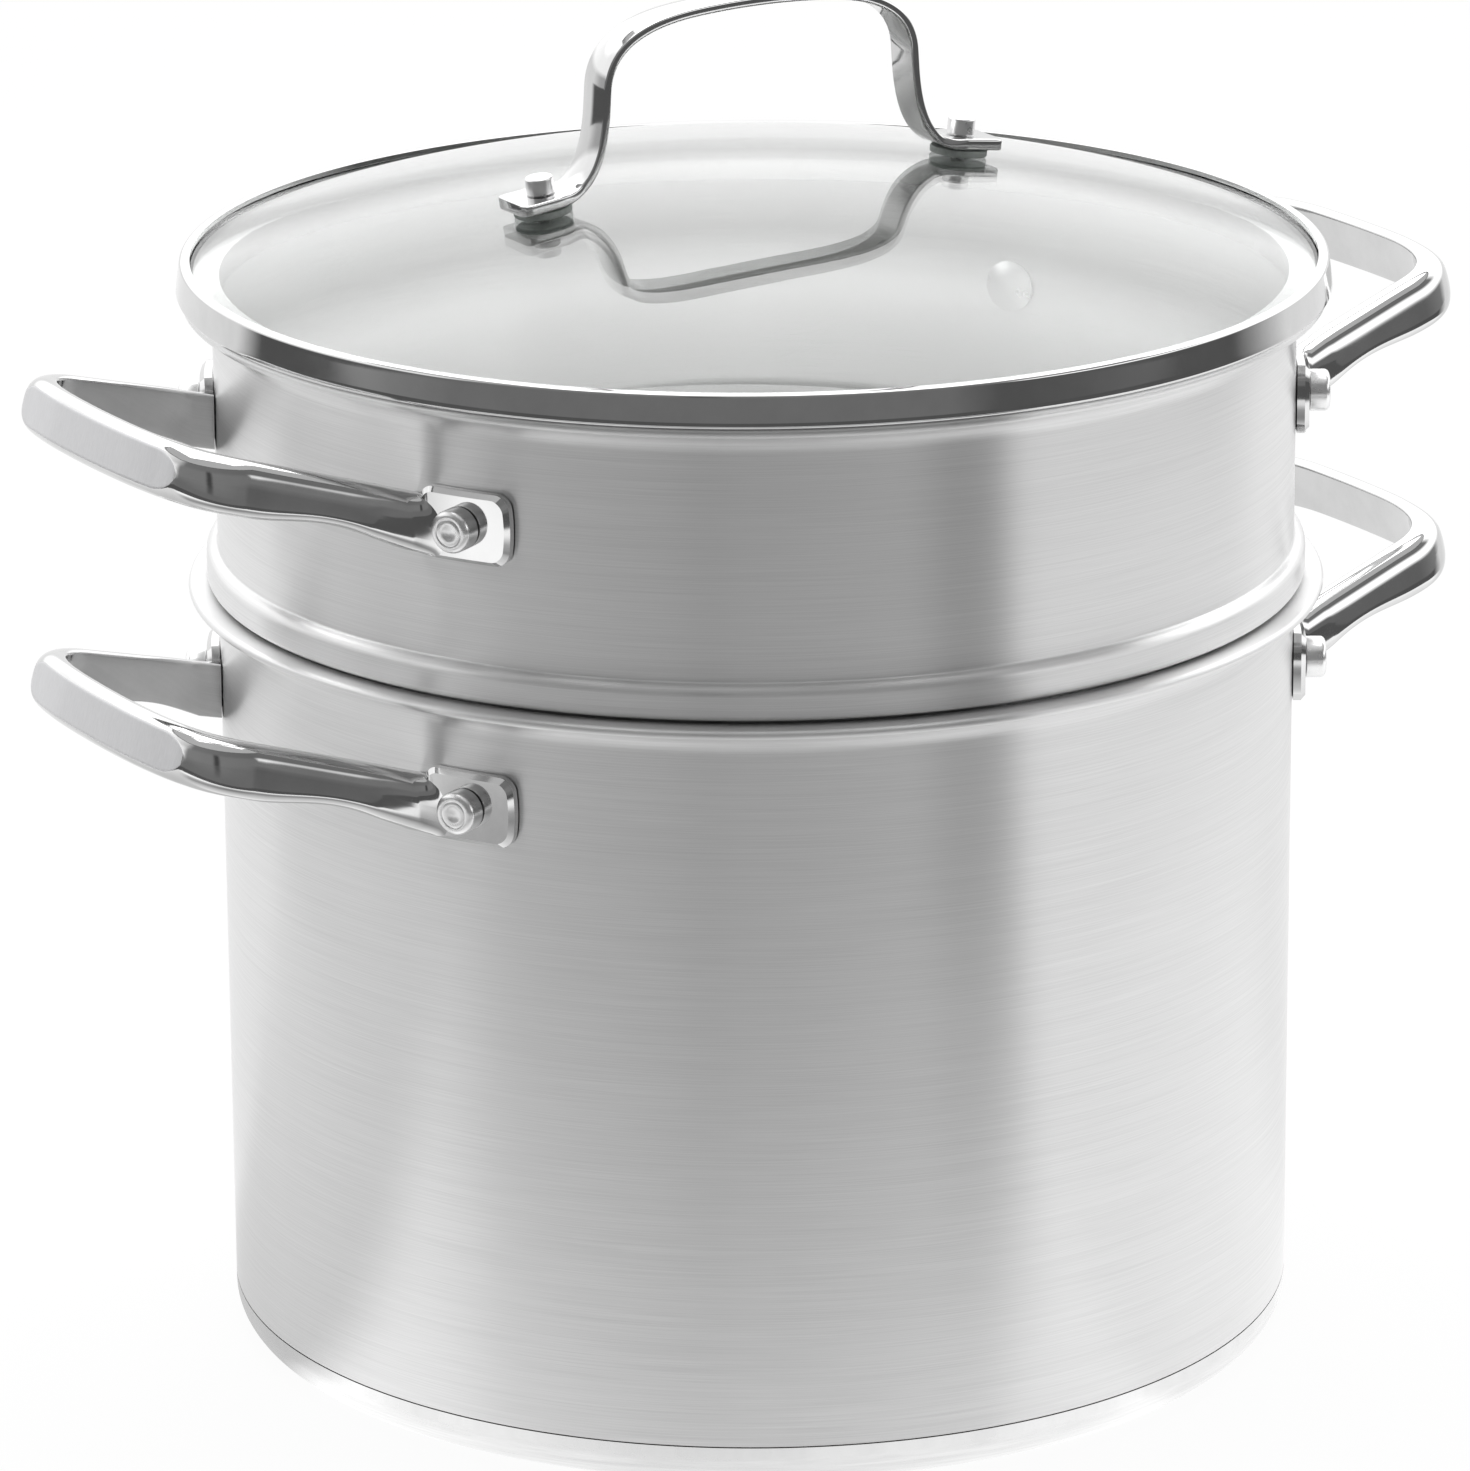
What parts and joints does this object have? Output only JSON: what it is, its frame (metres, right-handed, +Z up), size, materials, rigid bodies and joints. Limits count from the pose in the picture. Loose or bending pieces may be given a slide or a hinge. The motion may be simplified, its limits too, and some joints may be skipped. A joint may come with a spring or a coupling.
{
  "type": "stockpot with pasta insert",
  "caption": "Tall stainless stockpot with a thick base, a lift-out perforated pasta insert that stands above the rim, loop handles and a domed glass lid with a strap handle.",
  "frame": {"origin": "centre of the underside of the base", "axes": "+Z up, loop handles along X, +Y to the back"},
  "size_m": [0.3354, 0.2572, 0.3067],
  "materials": {
    "brushed_steel": "brushed round the body",
    "polished_steel": "mirror polished",
    "satin_steel": "satin",
    "aluminium_core": "plain",
    "lid_glass": "clear, polished",
    "seal_grey": "matte"
  },
  "bodies": {
    "pot": {"pot_shell": "brushed_steel", "pot_base_core": "aluminium_core", "pot_base_cap": "satin_steel", "pot_handle_left": "polished_steel", "pot_handle_right": "polished_steel", "pot_rivet_left_back": "satin_steel", "pot_rivet_left_front": "satin_steel", "pot_rivet_right_back": "satin_steel", "pot_rivet_right_front": "satin_steel"},
    "insert": {"insert_basket": "brushed_steel", "insert_handle_left": "polished_steel", "insert_handle_right": "polished_steel", "insert_rivet_left_back": "satin_steel", "insert_rivet_left_front": "satin_steel", "insert_rivet_right_back": "satin_steel", "insert_rivet_right_front": "satin_steel"},
    "lid": {"lid_glass": "lid_glass", "lid_rim_band": "polished_steel", "lid_handle": "polished_steel", "lid_rivet_left": "satin_steel", "lid_rivet_right": "satin_steel", "lid_upper_washer_left": "seal_grey", "lid_upper_washer_right": "seal_grey", "lid_lower_washer_left": "seal_grey", "lid_lower_washer_right": "seal_grey"}
  },
  "joints": [
    {"name": "insert_lift", "type": "slide", "parent": "pot", "child": "insert", "axis": [0, 0, 1], "range_m": [0, 0.16]},
    {"name": "lid_lift", "type": "slide", "parent": "insert", "child": "lid", "axis": [0, 0, 1], "range_m": [0, 0.08]}
  ]
}
